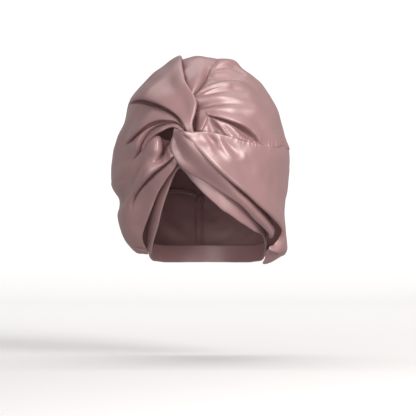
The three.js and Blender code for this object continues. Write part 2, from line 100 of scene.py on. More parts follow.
def smooth(keys, values, x):
    """Piecewise cubic through rising keys, with central slopes. Values may be points."""
    keys, values = np.asarray(keys, float), np.asarray(values, float)
    x = np.clip(np.asarray(x, float), keys[0], keys[-1])
    last = len(keys) - 1
    i = np.clip(np.searchsorted(keys, x, side="left") - 1, 0, last - 1)
    lower, upper = np.maximum(np.arange(last + 1) - 1, 0), np.minimum(np.arange(last + 1) + 1, last)
    run = keys[upper] - keys[lower]
    rise = values[upper] - values[lower]
    slope = (rise.T / run).T
    h = keys[i + 1] - keys[i]
    t = (x - keys[i]) / h
    extra = (1,) * (values.ndim - 1)
    h, t = h.reshape(h.shape + extra), t.reshape(t.shape + extra)
    t2, t3 = t * t, t * t * t
    return (
        (2 * t3 - 3 * t2 + 1) * values[i]
        + (t3 - 2 * t2 + t) * h * slope[i]
        + (3 * t2 - 2 * t3) * values[i + 1]
        + (t3 - t2) * h * slope[i + 1]
    )


def ramp(low, high, x):
    """0 below low, 1 above high and a soft step between."""
    t = np.clip((np.asarray(x, float) - low) / (high - low), 0, 1)
    return t * t * (3 - 2 * t)


def unit(v):
    return v / np.maximum(np.linalg.norm(v, axis=-1, keepdims=True), 1e-9)


class Form:
    """A round-topped hollow form. A place on it is a chart point (s sin azimuth, -s cos azimuth),
    where s runs down from the crown and the azimuth is 0 at the front."""

    def __init__(self, rows, axis):
        self.axis = axis
        table = np.array([rows[1], *rows], float)
        table[0, 1:] *= -1
        steps = np.hypot(np.diff(table[:, :1], axis=0), np.diff(table[:, 1:], axis=0)).mean(axis=1)
        self.s = np.concatenate([[0], np.cumsum(steps)])
        self.s -= self.s[1]
        self.table = table

    def reach(self, column, s):
        return smooth(self.s, self.table[:, column], s)

    def side(self, s, x):
        """The reach to the left where x is negative, and to the right where it isn't."""
        return np.where(x < 0, self.reach(1, s), self.reach(2, s))

    def depth(self, s, sin, y):
        """The reach to the front, which goes over from left to right, or to the back."""
        share = ramp(-0.4, 0.4, sin)
        front = self.reach(3, s) * (1 - share) + self.reach(4, s) * share
        return np.where(y > 0, front, self.reach(5, s))

    def s_at(self, z):
        """How far down from the crown a height is."""
        low, high = 0.0, self.s[-1]
        for _ in range(40):
            middle = (low + high) / 2
            if self.reach(0, middle) > z:
                low = middle
            else:
                high = middle
        return (low + high) / 2

    def point(self, chart):
        azimuth = np.arctan2(chart[..., 0], -chart[..., 1])
        s = np.hypot(chart[..., 0], chart[..., 1])
        sin, cos = np.sin(azimuth), np.cos(azimuth)
        side, depth = self.side(s, sin), self.depth(s, sin, cos)
        return np.stack([self.axis[0] + side * sin, self.axis[1] - depth * cos, self.reach(0, s)], axis=-1)

    def normal(self, chart):
        d = 0.01 * self.s[-1]
        across = self.point(chart + (d, 0)) - self.point(chart - (d, 0))
        along = self.point(chart + (0, d)) - self.point(chart - (0, d))
        return unit(np.cross(across, along))

    def round(self, degrees, z):
        """The chart point at a height and so many degrees round from the front."""
        azimuth, s = math.radians(degrees), self.s_at(z)
        return (s * math.sin(azimuth), -s * math.cos(azimuth))

    def front(self, x, z):
        """The chart point on the front at x and z."""
        s = self.s_at(z)
        side = self.reach(1 if x < self.axis[0] else 2, s)
        sin = min(max((x - self.axis[0]) / side, -0.999), 0.999)
        return (s * sin, -s * math.sqrt(1 - sin * sin))

    def locate(self, p):
        """The chart points of places near the form."""
        s = np.array([self.s_at(z) for z in p[:, 2]])
        x, y = p[:, 0] - self.axis[0], self.axis[1] - p[:, 1]
        side = self.side(s, x)
        azimuth = np.arctan2(x / side, y / self.depth(s, x / side, y))
        return np.stack([s * np.sin(azimuth), -s * np.cos(azimuth)], axis=-1)


PUFF = Form(PUFF_ROWS, PUFF_AXIS)
HEAD = Form(HEAD_ROWS, HEAD_AXIS)
front, turn = PUFF.front, PUFF.round


# ------------------------------------------------------------------ strands
def fronts(*places):
    """Chart points of places on the front, each given as x and z."""
    return [front(x, z) for x, z in places]


def turns(*places):
    """Chart points of places given as degrees round from the front and z."""
    return [turn(degrees, z) for degrees, z in places]


def lowered(points, drop):
    """The places moved down their form by a chart distance."""
    return [(x * (1 + drop / math.hypot(x, y)), y * (1 + drop / math.hypot(x, y))) for x, y in points]


def part_way(points, keys):
    """Chart points part-way along a strand, counted in its places."""
    return [tuple(place) for place in smooth(np.arange(len(points)), points, np.array(keys))]


PAST = 5  # degrees that the right-hand pieces reach under the left-hand ones at the back
CENTRE_SEAM = turns((-142, 5), (-155, 1.5), (-171, -20), (-178, -60))
CENTRE_TUCK = turns((-128, 3), (-145, -1), (-164, -20), (-173, -60))
LEFT_SEAM = [
    *fronts((-82, -105), (-90, -118), (-99, -127)),
    *turns((-92, -134), (-110, -140), (-140, -145), (-180, -149)),
]
RIGHT_SEAM = [
    *fronts((28, -80), (40, -83), (57, -87), (76, -91)),
    *turns((90, -95), (120, -104), (142, -120), (164, -136), (180 + PAST, -151)),
]
TUCK = 8  # how far the crown reaches under the bands, mm
# Each piece is lofted through strands that run from the knot to the back of the head.
STRANDS = {}
STRANDS["crown_left"] = [
    [*fronts((-30, -79), (-30, -73), (-33, -69.5), (-38, -68), (-44, -70), (-50, -74), (-58, -78),
     (-66, -86), (-74, -97)), *lowered(LEFT_SEAM, TUCK)],
    [*fronts((-23, -79), (-25, -66), (-33, -55), (-50, -45), (-66, -38), (-82, -42)), *turns((-95, -62),
     (-125, -85), (-155, -105), (-180, -112))],
    [*fronts((-14, -79), (-15.5, -66), (-12.5, -54), (-11, -46), (-13, -39), (-18, -31), (-23, -22),
     (-25.5, -12), (-27.5, 1)), turn(-118, 8), *CENTRE_SEAM],
]
STRANDS["crown_right"] = [
    [*fronts((-19, -82), (-8, -89), (4, -92), (16, -91)), *lowered(RIGHT_SEAM, TUCK)],
    [*fronts((-19, -68), (-4, -62), (15, -57), (35, -60), (55, -68)), *turns((70, -74), (105, -86),
     (150, -112), (180 + PAST, -130))],
    [*fronts((-19, -56), (-6, -47), (10, -40), (30, -36), (55, -40)), *turns((76, -48), (110, -62),
     (150, -88), (180 + PAST, -110))],
    [*fronts((-19, -48), (-12, -36), (4, -24), (24, -14), (44, -12)), *turns((84, -20), (120, -32),
     (155, -58), (180 + PAST, -90))],
    [*fronts((-20, -44), (-18, -34), (-10, -19), (-2, -6), (7, 6)), *turns((158, 5), (170, -8),
     (179, -36), (180 + PAST, -74))],
    [*fronts((-22, -41), (-27, -31), (-33, -20), (-37, -8)), turn(-88, 4), turn(-110, 3), *CENTRE_TUCK],
]
STRANDS["band_right"] = [
    [*fronts((-28.4, -74.5), (-20, -82), (-8, -93.5), (4, -106.5), (16, -118), (28, -129), (40, -140),
     (50, -150), (60, -160), (69, -169.5), (75.5, -177), (79.8, -184.5), (79, -193), (73, -198.5),
     (66.5, -200.5), (64.4, -210), (62.2, -220.7), (68, -220.7), (78, -216.5)), *turns((90, -212),
     (108, -211.8), (127, -213.5), (146, -217), (165, -219), (180 + PAST, -219.5))],
    [*fronts((-28.2, -74.5), (-17, -80.5), (-3, -90), (10, -102), (22, -113.5), (34, -124), (46, -135),
     (56, -145), (66, -155), (75, -164.5), (81.5, -173), (85.5, -183), (85.5, -194), (81.5, -200.5),
     (77.5, -204), (75, -207), (74, -210)), *turns((60.5, -210), (66, -210), (82, -209.4), (104, -207.8),
     (127, -208.8), (146, -211.5), (165, -213.5), (180 + PAST, -214))],
    [*fronts((-27.8, -74.5), (-13, -79), (3, -86), (18, -97), (31, -107), (43, -117), (55, -127),
     (65, -137), (74, -147), (82, -157)), *turns((78, -167), (88, -177), (95, -184), (99, -188),
     (102, -190.5), (104, -192), (106, -193), (108, -193.5), (111, -194), (116, -194.8), (124, -196),
     (136, -197.5), (150, -199.5), (167, -201), (180 + PAST, -202))],
    [*fronts((-27, -74.2), (-15, -75.2), (-2, -74.6), (10, -75.8), (20, -78.3)),
     *part_way(RIGHT_SEAM, [0.17, 1.06, 1.7, 2.32, 2.9, 3.32, 3.66, 3.94, 4.2, 4.43, 4.63, 4.83, 5.0,
     5.24, 5.5, 5.82, 6.25, 6.78, 7.37, 8])],
]
STRANDS["band_roll"] = [
    [*fronts((-32.5, -73), (-34.6, -74), (-35.6, -77), (-37, -82), (-38.3, -88), (-38, -94),
     (-35.6, -101), (-31, -108.5), (-25.5, -114.5), (-18, -120), (-8, -125.5), (3, -132), (14, -139),
     (26, -147), (39, -157), (50, -169), (61, -179), (69, -187.5), (73, -194))],
    [*fronts((-31.8, -72.8), (-28.5, -73.5), (-21, -78), (-12, -85), (-4, -93), (8, -104), (21, -115),
     (33, -126), (45, -137), (58, -148), (68, -161), (75, -171), (79, -186))],
]
STRANDS["band_left"] = [
    [*fronts((-28, -101), (-33, -109), (-38, -117), (-44, -125), (-50, -134), (-55, -142), (-60, -152),
     (-64, -163), (-67, -172), (-70, -181), (-72, -190), (-71, -198), (-68, -206), (-67, -211.5)),
     *turns((-75, -210), (-92, -205.5), (-110, -207), (-128, -211.5), (-146, -216), (-163, -218.5),
     (-180, -219.5))],
    [*fronts((-34, -90), (-50, -97), (-64, -112), (-76, -132), (-87, -152)), *turns((-90, -168),
     (-120, -180), (-150, -186), (-180, -188))],
    [*fronts((-33, -83), (-42, -83.5), (-50, -81), (-56, -79), (-62, -79.5), (-67, -85), (-74, -95)),
     *LEFT_SEAM],
]
NAPE_EDGE = [(10, -221.5), (30, -221.5), (50, -221), (70, -219), (88, -215)]  # degrees from the back, z
FACE_EDGE = [
    # x, z
    (-60, -201), (-57, -190), (-53, -177), (-50, -164), (-46, -150), (-41, -136), (-36, -123), (-30, -114),
    (-24, -118), (-15, -129), (-4, -141), (8, -152), (20, -162), (37, -174), (52, -184),
]
BAND_EDGE = [
    *[HEAD.round(degrees - 180, z) for degrees, z in NAPE_EDGE],
    HEAD.round(-76, -209),
    *[HEAD.front(x, z) for x, z in FACE_EDGE],
    HEAD.round(70, -191),
    HEAD.round(80, -200),
    *[HEAD.round(180 - degrees, z) for degrees, z in reversed(NAPE_EDGE)],
]


# ------------------------------------------------------------------ folds
# A fold is a line of rows: x and z on the front, or a chart point, and then the height and width.
# swell: a rounded ridge or hollow. crease: the same with a sharp middle. gather: small puckers.
# lip: the cloth stands up and laps over on one side of the line, and lies low on the other. flap: a
# lip that laps further. step: a softer lip that does not lap. tuck: all beyond the line lies lower,
# under the piece that is sewn over it. Side 1 is the left hand on the way along the line.
def fold(kind):
    """A function that gives a fold of the kind from its rows."""
    return lambda *rows, side=1: (kind, side, rows)


KINDS = ("swell", "crease", "gather", "lip", "flap", "step", "tuck")
swell, crease, gather, lip, flap, step, tuck = (fold(kind) for kind in KINDS)
FOLDS = {}
FOLDS["crown_left"] = [
    tuck((-60, -79, 0, 3), (-67, -85, 2, 3), (-75, -95, 3.6, 3), *[(place, 3.6, 3) for place in LEFT_SEAM]),
    # the edge that laps over the right half
    swell((-15, -79, 2, 8), (-15.5, -68, 6, 11), (-13, -56, 8, 14), (-12, -46, 8.5, 16), (-14, -37, 8, 17),
     (-20, -26, 7, 17), (-24, -13, 6, 16), (-26, 0, 5, 16), (turn(-120, 8), 3, 14), (turn(-150, 3), 0, 14)),
    # the deep upper fold
    flap((-20, -75, 1, 3), (-22, -67.5, 2, 4), (-27.5, -57, 3.5, 6), (-36.5, -47.5, 5.5, 9),
     (-48.5, -40, 7, 12), (-60.5, -35.5, 7.5, 14), (-71, -34.5, 6, 14), (-80, -37.5, 3, 13),
     (-88, -44, 0, 12), side=-1),
    # the pleats over the hollow
    flap((-21, -74, 0.8, 2.5), (-25, -67.5, 1.6, 3), (-32, -61.5, 2.6, 4), (-42, -58.5, 4, 6),
     (-53, -58.2, 5, 8), (-63, -62, 5.5, 9), (-73.5, -70.5, 5.5, 10), (-83, -79.5, 3.5, 10),
     (-92, -88, 0, 10), side=-1),
    lip((-33, -64.5, 0.5, 2), (-41, -63.5, 1.8, 3), (-51, -64, 2.6, 4), (-60, -67.5, 3.2, 5),
     (-68, -75, 4, 6), (-74, -84, 5, 8), (-79, -94, 4, 9), (-86, -106, 0, 9), side=-1),
    swell((-72, -90, 0, 4), (-80, -97, -4, 6), (-90, -103, -3.5, 9), (-101, -110, -1, 9)),
    # the rim over the hollow
    swell((-29, -72, 3, 4), (-36, -69, 4.5, 4.5), (-46, -72, 5, 5), (-57, -77.5, 3.5, 5), (-67, -86, 1, 5),
     (-74, -95, 0, 5)),
    swell((-74, -60, 0, 12), (-88, -70, 1.5, 14), (turn(-90, -92), 2, 16), (turn(-110, -115), 0, 16)),
]
FOLDS["crown_right"] = [
    tuck((15, -76.5, 3, 3), *[(place, 3.6, 3) for place in RIGHT_SEAM], side=-1),
    tuck((turn(-118, 7), 0, 3), *[(place, 2.4, 3) for place in CENTRE_SEAM], (turn(-180, -110), 2.4, 3),
     (turn(-180, -165), 2.4, 3)),
    # the narrow valley below the crown's dip
    crease((-18, -38, -3, 3), (-14, -32.5, -5, 4), (-9, -25.5, -7, 5.5), (-4, -17, -8, 7), (0, -9, -8, 8),
     (4, -2, -7, 9), (8, 4, -5, 9), (turn(150, 6), 0, 9)),
    crease((-15, -34, -1, 1.2), (-9.5, -26, -3, 1.6), (-4.5, -17.5, -3.4, 2), (-0.5, -9.5, -3, 2.4),
     (4, -2.5, -1.6, 2.8), (9, 2, 0, 3)),
    step((-15, -34, 0.8, 3), (-9, -25.5, 2.5, 5), (-4, -17, 3.5, 7), (0, -9, 3.5, 9), (4, -2, 2.5, 10),
     (8, 4, 1, 10), (turn(150, 6), 0, 9), side=-1),
    swell((-16, -30, 0.5, 4), (-11, -19, 1.5, 6), (-7, -8, 2, 8), (-8, 6, 2, 9), (turn(-170, 5), 1, 10)),
    swell((2, -5, 1, 3), (9, 1, 3, 4), (20, 2.5, 4, 4.5), (31, 0, 2.6, 5.5), (44, -10, 1, 9),
     (56, -20, 0, 12)),
    crease((5, -5, -0.5, 2), (12, -2.5, -2.2, 2.4), (22, -2, -2.4, 2.8), (33, -5, -1.4, 3.4),
     (43, -12, 0, 4)),
    swell((-4, -19, -1, 4), (4, -12, -3.4, 5.5), (14, -12, -4.5, 7), (28, -13, -4.5, 8), (42, -18, -2.6, 9),
     (56, -26, 0, 11)),
    # ridges that fan out of the knot
    swell((-16, -36, 2, 2), (-8, -31.5, 3.5, 2.6), (0, -27.5, 4.5, 3.2), (10, -24, 5, 3.8),
     (21, -22, 4.5, 4.6), (32, -21.5, 3.5, 6), (44, -23.5, 2, 9), (58, -32, 0, 12)),
    crease((-10, -33.8, 0, 1.4), (-4, -31.3, -1.8, 1.6), (4, -28.3, -2.2, 1.9), (13, -25.6, -1.8, 2.2),
     (24, -24, 0, 2.4)),
    swell((-9, -35, 0.5, 1.6), (-2, -32.4, 2.4, 2.2), (7, -29, 2.8, 2.8), (18, -26.5, 1.6, 3.4),
     (28, -26, 0, 4)),
    swell((-9, -37.5, -1, 2), (4, -34, -1.6, 3.4), (20, -32, -1.4, 6), (36, -33, -1, 9), (54, -40, 0, 11)),
    swell((-14, -39, 2.5, 2), (-6, -37, 3.2, 3.2), (4, -36, 3.6, 4.6), (18, -35.5, 4, 6.5), (33, -37, 4, 8),
     (48, -42, 3.2, 10), (66, -55, 0, 12)),
    swell((-14, -46, -8, 3), (-6, -45.5, -6.5, 3.2), (4, -44.5, -3.6, 3.4), (18, -44, -2.4, 4),
     (34, -45.5, -1.8, 5), (50, -51, 0, 6)),
    swell((-6, -48.5, 1, 3), (6, -49, 2.4, 4.6), (24, -48.5, 3.8, 6.5), (42, -50.5, 4.6, 8),
     (56, -56, 4.6, 9), (68, -69, 3, 10), (76, -82, 1, 10)),
    # the tuck with the lens-shaped hollow
    flap((1, -54.5, 1.5, 2), (8, -55, 3.5, 3), (18, -57, 4.5, 4), (28, -60, 5, 5), (37, -63.5, 5, 6),
     (45.5, -68.5, 4.5, 7), (52.5, -75.5, 3.5, 7), (57, -83, 2, 6), (60, -90, 0, 5)),
    swell((30, -68, -1, 4), (38, -72, -4, 5), (46, -77, -4.5, 5), (52, -82.5, -2.5, 4.5), (56, -90, 0, 5)),
    # the lip below the tuck, with small pleats between
    step((1, -56, 1, 2.5), (9, -63.5, 3, 3), (15, -69.5, 3.2, 3.5), (21, -76.5, 2.4, 4), (30, -83, 0, 4)),
    swell((7, -61, 0.6, 2.4), (17, -65, 2.2, 3.4), (26, -70, 2.6, 4), (33, -76.5, 2, 4), (40, -84, 0.6, 4)),
    crease((10, -63.5, 0, 1.6), (18, -68, -1.4, 2), (24, -74, -1.6, 2.4), (29, -80, -1, 2.4)),
    # the flat piece beside the slit, standing over the three-cornered hollow
    step((1, -55, 0.8, 3), (-0.5, -61, 2.8, 5), (-3.5, -68, 3.6, 5), (-7, -76, 3.6, 5), side=-1),
    swell((2, -59, -0.5, 2), (4, -65, -3.5, 4), (7, -71, -5.5, 5.5), (9, -78, -5.5, 6)),
    # the dark slit beside the lapping edge
    swell((-19, -78, -11, 4.6), (-16.5, -66, -13, 4.2), (-15.2, -54, -11, 3.8), (-16, -44, -4, 4),
     (-20, -36, -3, 4), (-27, -26, -3.5, 7), (-32, -12, -4, 9), (turn(-88, 5), -4, 11),
     (turn(-120, 6), -4, 12), (turn(-150, 2), -3, 12), (turn(-165, -8), 0, 10)),
    swell((-10, -82, -4, 6), (4, -81, -3, 5), (18, -81, -1.5, 5), (32, -83, 0, 5)),
    swell((64, -74, 0, 5), (73, -80, 1.8, 4.5), (80, -88, 0.8, 4)),
    gather((22, -80, 0.3, 4), (44, -84.5, 0.6, 6), (60, -88, 0.9, 8), (76, -91.5, 0.8, 8),
     (turn(90, -95), 0.6, 8), (turn(120, -104), 0.4, 8)),
]
FOLDS["band_right"] = [
    tuck((turn(180, -140), 2.4, 3), (turn(180, -180), 2.4, 3), (turn(180, -230), 2.4, 3)),
    # the rolled front ridge
    swell((-28, -74, 9, 6), (-19, -82, 11, 8), (-7, -93, 11.5, 10), (5, -105, 11, 11), (18, -117, 10.5, 13),
     (40, -138, 9, 14), (62, -159, 7.5, 14), (78, -176, 5.5, 12), (84, -187, 3.5, 10), (82, -198, 4, 8),
     (75, -203, 5, 6.5), (64, -205, 4.5, 6)),
    swell((-12, -88, 0, 3), (4, -105, 1.6, 3.4), (28, -127.5, 2, 3.6), (52, -151, 2, 3.6),
     (70, -168.5, 1.8, 3.6), (81, -184, 1.2, 3.4), (80, -194, 0, 3)),
    swell((-20, -76, 7, 6), (-8, -76, 7, 6), (4, -76, 4.5, 7), (15, -78, 2, 7), (30, -82, 0, 8)),
    # soft creases that run down from the knot
    swell((-10, -77, 0, 3), (0, -78, -2.6, 4), (5, -83, -3, 4.5), (8, -90, -2, 4), (7, -97, 0, 4)),
    swell((-7, -78, 0, 2), (-1, -84, 1.4, 2.4), (4, -91, 1.4, 3), (10, -99, 0, 4)),
    swell((2, -76, 0, 3), (12, -83, 2, 4), (19, -92, 2.8, 5), (27, -101, 2.4, 6), (36, -104, 1.5, 6),
     (43, -98, 0, 6)),
    swell((14, -82, 0, 5), (24, -90, -2.6, 6), (33, -97, -1.6, 6), (42, -99, 0, 7)),
    swell((40, -106, 0, 12), (56, -120, 1.6, 18), (68, -142, 1.6, 20), (turn(72, -165), 0, 18)),
    # the lobe below the pocket
    step((58, -199, 2.5, 4), (66, -202, 3, 5), (73, -205.5, 3, 5.5), (80, -208, 2, 6), (87, -208, 0, 6)),
    gather((22, -80, 0.15, 4), (44, -84.5, 0.3, 4), (60, -88, 0.4, 4), (76, -91.5, 0.3, 4),
     (turn(90, -95), 0.2, 5), (turn(120, -104), 0.2, 5)),
]
FOLDS["band_roll"] = [
    # the crest beside the deep valley
    swell((-31, -73, 9, 5), (-26, -78, 12, 8), (-19, -85, 12.5, 11), (-9, -95, 11, 13), (3, -107.5, 9, 13),
     (14, -119, 7.5, 11), (24, -131, 6.5, 9), (35, -144, 6, 8), (50, -161, 5.5, 7), (64, -176, 5, 6),
     (71, -188, 2, 5), (72, -196, -4, 5)),
    swell((-35, -76, 4, 3.4), (-37, -86, 4, 4), (-36, -96, 4, 6), (-31, -106, 3, 7), (-20, -114, 2, 7),
     (-6, -121, 0, 8)),
    swell((-14, -78, -2, 4), (-4, -88, -5, 4), (10, -102, -6, 5), (24, -116, -6, 6), (45, -136, -6, 7),
     (69, -158, -6, 8), (80, -175, -7, 8), (82, -188, -9, 9)),
]
FOLDS["band_left"] = [
    # the bulge beside the hollow and the valley next to the tongue
    swell((-60, -81, 0.5, 8), (-61, -90, 2.5, 9), (-61, -102, 4.5, 9), (-66, -117, 4, 10), (-75, -134, 2, 11),
     (-82, -148, 0, 12)),
    swell((-51, -76, -14, 5.5), (-51, -84, -15, 5), (-51, -92, -12, 4.4), (-51.5, -99, -6, 3.8),
     (-53, -107, 0, 4)),
    flap((-58, -76, 1, 11), (-57, -81, 5.5, 11), (-56, -87, 7.5, 10), (-55, -94, 6.5, 9), (-55, -100, 3.5, 7),
     (-56, -107, 0, 6), side=-1),
    swell((-41, -86, 2, 3), (-40.5, -94, 3, 3.5), (-38, -100, 3, 4), (-34, -106, 2, 4)),
    lip((-34, -98, 1.5, 3), (-41, -103, 3, 4), (-50, -109, 5, 6), (-60, -116, 6.5, 8), (-69, -125, 6, 10),
     (-77, -136, 4, 11), (-82, -150, 1.5, 12), (-84, -162, 0, 12), side=-1),
    swell((-70, -104, -2, 6), (-77, -114, -4, 7), (-84, -127, -4.5, 7), (-90, -139, -4.5, 7),
     (-96, -150, -5, 6), (turn(-92, -156), -2, 7)),
    swell((-84, -140, 0, 8), (-87, -156, 3, 10), (-89, -172, 2.5, 14), (-85, -192, 1, 14),
     (-78, -206, 0, 12)),
    swell((-31, -82, -9, 7), (-44, -81, -8, 6), (-53, -77, -3, 4), (-62, -82, -3, 4), (-74, -95, -2, 5),
     (-88, -114, 0, 6)),
    lip((-84, -203, 0, 3), (-78, -204.5, 1.2, 3), (-71, -206.5, 1.4, 3), (-64, -208, 1, 3), side=-1),
    swell((-62, -128, -1, 6), (-70, -142, -3, 8), (-75, -158, -3, 9), (-76, -175, -1, 9)),
]
FOLD_REACH = 3.2  # widths beyond which a fold no longer shows
FOLD_FADE = 0.8  # widths over which it fades before that
TUCK_REACH = 16  # mm
TUCK_START = -0.6  # where a tuck starts to fall, in mm from its line
CREASE_FALL = 1.7  # how fast a crease falls away from its middle
CREASE_ROUND = 0.02  # rounds the very middle of a crease
CREASE_TOP = 0.141  # its square root, so that the crease keeps its full height
GATHER_STEP = 5.2  # from pucker to pucker, mm
GATHER_SWING, GATHER_RATE = 1.4, 0.31  # how unevenly the puckers follow one another
LIP_EDGE = 1.0  # half thickness of the turned edge of a lip, mm
LOW_EDGE = 0.3  # the least share of it, on a lip of no height
FULL_LIP = 6  # height from which a lip's edge has its full thickness, mm
STEP_EDGE = 1.8  # half thickness of the edge of a step, mm
LIP_FOOT, LIP_TOP = -2.4, 0.4  # where a lip starts to rise and is up, in half thicknesses
LIP_LAP = 0.5  # how far a lip leans over, as a share of its height
FLAP_LAP = 0.9  # the same for a flap
LAP_REACH = 0.6  # how far back the cloth leans with the lip, in widths
LIP_SINK = 0.35  # how far the cloth lies low beside a lip, as a share of its height
SINK_FALL = 1.3  # how fast that ends
CLEFT = 1.4  # depth of the narrow cleft under a lip, as a share of its height
CLEFT_PLACE = 0.7  # how far out under the lap the cleft lies
CLEFT_GROWTH = 0.2  # how much wider than 1 mm it is for each mm of height


def fold_line(form, rows, parts=6):
    """The fold's points on its form with their heights and widths, with points between the rows."""
    keys = np.arange(len(rows))
    k = np.linspace(0, len(rows) - 1, (len(rows) - 1) * parts + 1)
    places = [form.front(*row[:2]) if len(row) == 4 else row[0] for row in rows]
    high, wide = (smooth(keys, [row[c] for row in rows], k) for c in (-2, -1))
    return form.point(smooth(keys, places, k)), high, wide


def nearest_place(line, points):
    """How far along the line, counted in its points, each place is nearest to, and its distance."""
    best = np.full(len(points), np.inf)
    place = np.zeros(len(points))
    for n in range(len(line) - 1):
        along = line[n + 1] - line[n]
        t = np.clip((points - line[n]) @ along / (along @ along), 0, 1)
        gap = ((points - line[n] - t[:, None] * along) ** 2).sum(axis=1)
        nearer = gap < best
        best[nearer] = gap[nearer]
        place[nearer] = n + t[nearer]
    return place, np.sqrt(best)


def fold_shift(form, entry, points, normals):
    """How a fold moves each point: up along the normal, and over where a lip laps."""
    kind, side, rows = entry
    line, high, wide = fold_line(form, rows)
    shift = np.zeros_like(points)
    margin = TUCK_REACH if kind == "tuck" else FOLD_REACH * wide.max()
    near = np.all((points > line.min(axis=0) - margin) & (points < line.max(axis=0) + margin), axis=1)
    points, normals = points[near], normals[near]
    if not len(points):
        return shift
    place, distance = nearest_place(line, points)
    n = np.minimum(place.astype(int), len(line) - 2)
    t = place - n

    def at(values):
        share = t if values.ndim == 1 else t[:, None]
        return values[n] * (1 - share) + values[n + 1] * share

    h, w = at(high), at(wide)
    q = distance / w
    h = h * (1 - ramp(FOLD_REACH - FOLD_FADE, FOLD_REACH, q))
    left = unit(np.cross(normals, unit(at(unit(np.gradient(line, axis=0)))))) * side
    signed = np.sign(((points - at(line)) * left).sum(axis=1)) * distance
    over = 0
    if kind == "swell":
        up = h * np.exp(-q * q)
    elif kind == "crease":
        up = h * np.exp(-CREASE_FALL * (np.sqrt(q * q + CREASE_ROUND) - CREASE_TOP))
    elif kind == "gather":
        wave = at(run_along(line)) * 2 * math.pi / GATHER_STEP
        up = h * np.exp(-q * q) * np.sin(wave + GATHER_SWING * np.sin(GATHER_RATE * wave))
    elif kind == "tuck":
        up = -at(high) * ramp(TUCK_START, w, signed)
    else:
        lip_edge = LIP_EDGE * (LOW_EDGE + (1 - LOW_EDGE) * np.clip(h / FULL_LIP, 0, 1))
        edge, foot = (STEP_EDGE, -1) if kind == "step" else (lip_edge, LIP_FOOT)
        cliff = ramp(foot * edge, LIP_TOP * edge, signed)
        above = np.where(signed > 0, np.exp(-q * q), 1)
        below = -LIP_SINK * np.where(signed < 0, np.exp(-SINK_FALL * q), 1)
        up = h * (cliff * above + (1 - cliff) * below)
        if kind != "step":
            lap = (FLAP_LAP if kind == "flap" else LIP_LAP) * h
            rise = ramp(LIP_FOOT * edge, -0.5 * edge, signed)
            held = np.where(signed > 0, np.exp(-((q / LAP_REACH) ** 2)), rise)
            over = (lap * held)[:, None] * left
            under = signed + edge + CLEFT_PLACE * lap
            up = up - CLEFT * h * np.exp(-((under / (1 + CLEFT_GROWTH * h)) ** 2))
    shift[near] = up[:, None] * normals - over
    return shift


# ------------------------------------------------------------------ patches
MOST_PULL = 0.3  # the most that a patch is pulled in on a side, as a share of its width
EVEN_WINDOW = 9  # columns over which the closeness of rows is evened out
EVEN_SHARE = 0.35  # share of the rows that stays spread evenly
WIDEST_TURN, WIDEST_FLAP = 0.16, 0.3  # the most of a patch's width that an edge's turn or flap takes
RIPPLE_LENGTHS = (13, 48)  # shortest and longest wave, mm
RIPPLE_UNIT = 30  # a wave of this length is 1 high
UV_SHARE = 0.01  # of a texture for each mm of cloth


def run_along(points):
    """How far along a line of points each one lies."""
    return np.concatenate([[0], np.cumsum(np.linalg.norm(np.diff(points, axis=0), axis=1))])


def strand_curve(form, points, parts=240, closed=False):
    """The strand as a function from a share of its length to a chart point."""
    around = 3 if closed else 0
    points = [*points[len(points) - around :], *points, *points[: around + 1]] if closed else points
    keys = np.arange(len(points)) - around
    fine = smooth(keys, points, np.linspace(0, keys[-1] - around, parts + 1))
    length = run_along(form.point(fine))
    length /= length[-1]
    return lambda share: np.stack(
        [np.interp(share, length, fine[:, 0]), np.interp(share, length, fine[:, 1])], axis=-1
    )


def matched_strands(form, strands, share, parts=12):
    """Points along strands whose places answer one another: first to first, second to second."""
    keys = np.arange(len(strands[0]))
    fine = np.linspace(0, keys[-1], parts * keys[-1] + 1)
    run = np.zeros(len(fine))
    for points in strands:
        steps = np.linalg.norm(np.diff(form.point(smooth(keys, points, fine)), axis=0), axis=1)
        run[1:] += np.cumsum(steps) / steps.sum() / len(strands)
    place = np.interp(share, run, fine)
    return np.stack([smooth(keys, points, place) for points in strands])


def chart_grid(form, strands, across, along, crowd):
    """Chart points of a patch: rows across the strands, columns along them, closer at the knot.
    Strands that all have the same number of places are matched place by place."""
    share = np.linspace(0, 1, along + 1) ** crowd
    matched = len({len(points) for points in strands}) == 1
    if matched:
        ends = matched_strands(form, strands, share)
    else:
        ends = np.stack([strand_curve(form, points)(share) for points in strands])
    gaps = np.linalg.norm(np.diff(form.point(ends), axis=0), axis=2)
    keys = np.concatenate([np.zeros((1, along + 1)), np.cumsum(gaps, axis=0)])
    rows = keys[-1] * np.linspace(0, 1, across + 1)[:, None]
    if not matched:
        return np.stack([smooth(keys[:, j], ends[:, j], rows[:, j]) for j in range(along + 1)], axis=1)
    # straight from strand to strand, by azimuth and distance from the crown
    azimuth = (np.arctan2(ends[..., 0], -ends[..., 1]) + math.pi / 2) % (2 * math.pi) - math.pi / 2
    down = np.hypot(ends[..., 0], ends[..., 1])
    azimuth, down = (
        np.stack([np.interp(rows[:, j], keys[:, j], values[:, j]) for j in range(along + 1)], axis=1)
        for values in (azimuth, down)
    )
    return np.stack([down * np.sin(azimuth), -down * np.cos(azimuth)], axis=-1)


def resample(grid, want):
    """A grid sampled anew down each of its columns, at shares given for every column."""
    rows = np.linspace(0, 1, grid.shape[0])
    out = np.empty((len(want), grid.shape[1], grid.shape[2]))
    for j in range(grid.shape[1]):
        for c in range(grid.shape[2]):
            out[:, j, c] = np.interp(want[:, j], rows, grid[:, j, c])
    return out


